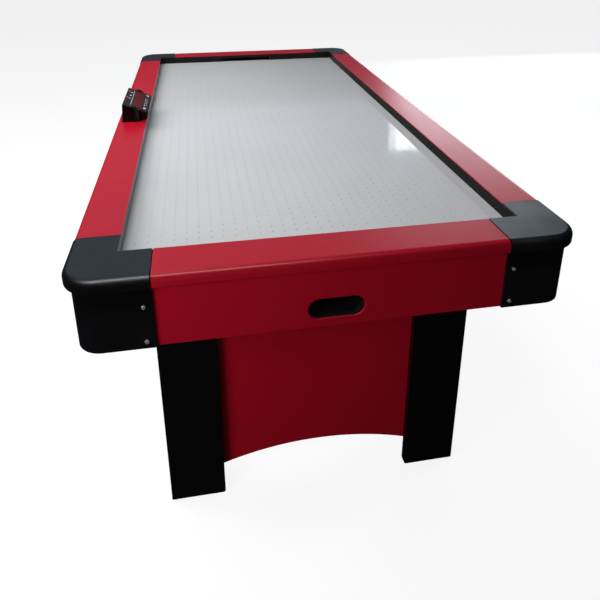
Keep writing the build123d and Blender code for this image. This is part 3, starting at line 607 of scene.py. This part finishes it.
def window_border(face):
    """Four printed strips on the raised bezel round the window."""
    top, bottom, reach = BORDER_OUTER
    inner_top, inner_bottom, inner_reach = BORDER_INNER
    place = face @ Matrix.Translation((0, 0, BEZEL_RISE))
    bm = bmesh.new()
    for x0, x1, y0, y1 in ((top, inner_top, -reach, reach), (inner_bottom, bottom, -reach, reach),
                           (inner_top, inner_bottom, -reach, -inner_reach),
                           (inner_top, inner_bottom, inner_reach, reach)):
        prism(bm, [(x0, y0), (x1, y0), (x1, y1), (x0, y1)], place, BORDER_THICK)
    piece("window_border", bm, BLACK_PRINT)


# ---------------------------------------------------------------- underside details
CABLE_DROP = 0.007          # from the air box down to a cable's middle
LONG_RUN_X = -0.430         # the run along the table, from the control box
CROSS_RUN_Y = 0.915         # the run across each end
LONG_RUN_CLIPS = [0.10 + 0.145 * step for step in range(1, 6)]
CROSS_RUN_CLIPS = (-0.30, -0.15, 0.0, 0.15, 0.30)
BLOWER_RUN_CLIPS = (-0.34, -0.26, -0.18)
CLIP_INNER, CLIP_OUTER, CLIP_HALF = 0.0026, 0.0040, 0.0035
CLIP_STEPS = 8


def cable_clips():
    """Clips that hold the long cable runs to the underside of the air box."""
    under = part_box("plenum_board")[0].z
    axis_z = under - CABLE_DROP
    bm = bmesh.new()
    for side in (-1, 1):
        for y in LONG_RUN_CLIPS:
            clip(bm, Vector((LONG_RUN_X, side * y, axis_z)), under, False)
        for x in CROSS_RUN_CLIPS:
            clip(bm, Vector((x, side * CROSS_RUN_Y, axis_z)), under, True)
    for x in BLOWER_RUN_CLIPS:
        clip(bm, Vector((x, 0, axis_z)), under, True)
    piece("cable_clips", bm, MOULDED)


def clip(bm, centre, under, across):
    """Saddle over a cable that runs along X if across, or along Y."""
    inner, outer = CLIP_INNER, CLIP_OUTER
    arc = [math.pi * k / CLIP_STEPS for k in range(CLIP_STEPS + 1)]
    outside = [(outer * math.cos(a), -outer * math.sin(a)) for a in arc]
    inside = [(inner * math.cos(a), -inner * math.sin(a)) for a in arc]
    top = under - centre.z
    outline = [(outer, top)] + outside + [(-outer, top), (-inner, top)] + inside[::-1] + [(inner, top)]
    turn = Matrix.Rotation(math.pi / 2, 4, "X")
    if across:
        turn = Matrix.Rotation(math.pi / 2, 4, "Z") @ turn
    place = Matrix.Translation(centre) @ turn @ Matrix.Translation((0, 0, -CLIP_HALF))
    prism(bm, outline[::-1], place, 2 * CLIP_HALF)


# ---------------------------------------------------------------- stage, lights and camera
FLOOR_HALF = 60
FLOOR_GAP = 0.0005
WORLD_COLOR = (0.93, 0.96, 1.0, 1)
WORLD_STRENGTH = 0.009


def stage():
    """Pale floor just under the legs, kept out of reflections and bounced light."""
    bm = bmesh.new()
    bmesh.ops.create_grid(bm, x_segments=1, y_segments=1, size=FLOOR_HALF)
    mesh = bpy.data.meshes.new("floor")
    bm.to_mesh(mesh)
    bm.free()
    mesh.materials.append(floor_finish())
    floor = bpy.data.objects.new("floor", mesh)
    floor.location.z = cad_low.z - FLOOR_GAP
    floor.visible_glossy = False
    floor.visible_diffuse = False
    bpy.context.scene.collection.objects.link(floor)


def area_light(name, place, target, size, power, color=(1, 1, 1), mirrored=True, diffuse=True):
    """Soft box aimed at a target; it can be kept out of reflections, or seen in them alone."""
    light = bpy.data.lights.new(name, "AREA")
    light.shape = "RECTANGLE"
    light.size, light.size_y = size
    light.energy = power
    light.color = color
    lamp = bpy.data.objects.new(name, light)
    lamp.location = place
    lamp.rotation_mode = "QUATERNION"
    lamp.rotation_quaternion = (Vector(target) - Vector(place)).to_track_quat("-Z", "Y")
    lamp.visible_camera = False
    lamp.visible_glossy = mirrored
    lamp.visible_diffuse = diffuse
    bpy.context.scene.collection.objects.link(lamp)


def lights():
    """A key and three fills that light without a reflection, and the sources the gloss mirrors."""
    world = bpy.data.worlds.new("studio")
    world.use_nodes = True
    background = world.node_tree.nodes["Background"]
    background.inputs["Color"].default_value = WORLD_COLOR
    background.inputs["Strength"].default_value = WORLD_STRENGTH
    bpy.context.scene.world = world
    area_light("key", (-1.8, 0.15, 2.65), (-1.35, 0.15, 0.7), (1.0, 3.4), 86, (1.0, 0.985, 0.97),
               mirrored=False)
    area_light("ceiling", (-0.6, 4.2, 4.4), (-0.3, -0.4, 0.8), (9.0, 5.0), 52, (0.72, 0.86, 1.0))
    area_light("window", (3.32, 4.4, 1.52), (3.32, 0.0, 1.52), (2.5, 2.3), 84, (0.86, 0.94, 1.0))
    area_light("curtain", (2.02, 4.4, 1.52), (2.02, 0.0, 1.52), (0.10, 2.3), 1.5, (0.90, 0.95, 1.0))
    area_light("tube", (-0.85, -1.75, 3.2), (-0.85, -1.05, 0.8), (2.1, 0.30), 34, diffuse=False)
    area_light("near_fill", (-1.5, -1.95, 1.15), (-0.3, -1.0, 0.5), (0.9, 0.9), 18, (1.0, 0.96, 0.94),
               mirrored=False)
    area_light("low_fill", (-1.2, -4.6, 0.8), (-0.2, -1.0, 0.3), (2.0, 1.2), 8, (1.0, 0.96, 0.94),
               mirrored=False)
    area_light("side_fill", (3.4, 0.2, 1.05), (-0.43, 0.0, 0.785), (1.0, 0.2), 55, (0.92, 0.96, 1.0),
               mirrored=False)


CAMERA_PLACE = (-0.2479, -2.0331, 1.3983)
CAMERA_TURN = (9.92, -20.08, 0.16)      # degrees: right of +Y, above the horizon, roll
CAMERA_LENS = 35.25
CAMERA_SHIFT = -0.2583


def camera():
    data = bpy.data.cameras.new("camera")
    data.sensor_width = 36
    data.lens = CAMERA_LENS
    data.shift_y = CAMERA_SHIFT
    data.clip_end = 200
    cam = bpy.data.objects.new("camera", data)
    azimuth, elevation, roll = (math.radians(a) for a in CAMERA_TURN)
    turn = Matrix.Rotation(-azimuth, 4, "Z") @ Matrix.Rotation(math.pi / 2 + elevation, 4, "X")
    cam.matrix_world = Matrix.Translation(CAMERA_PLACE) @ turn @ Matrix.Rotation(-roll, 4, "Z")
    bpy.context.scene.collection.objects.link(cam)
    bpy.context.scene.camera = cam


finish_nodes()
playfield_sheet()
face_plane = scorer_plane()
digit_segments(face_plane)
face_marks(face_plane)
cable_clips()
stage()
lights()
camera()
bpy.context.scene.view_settings.view_transform = "Standard"
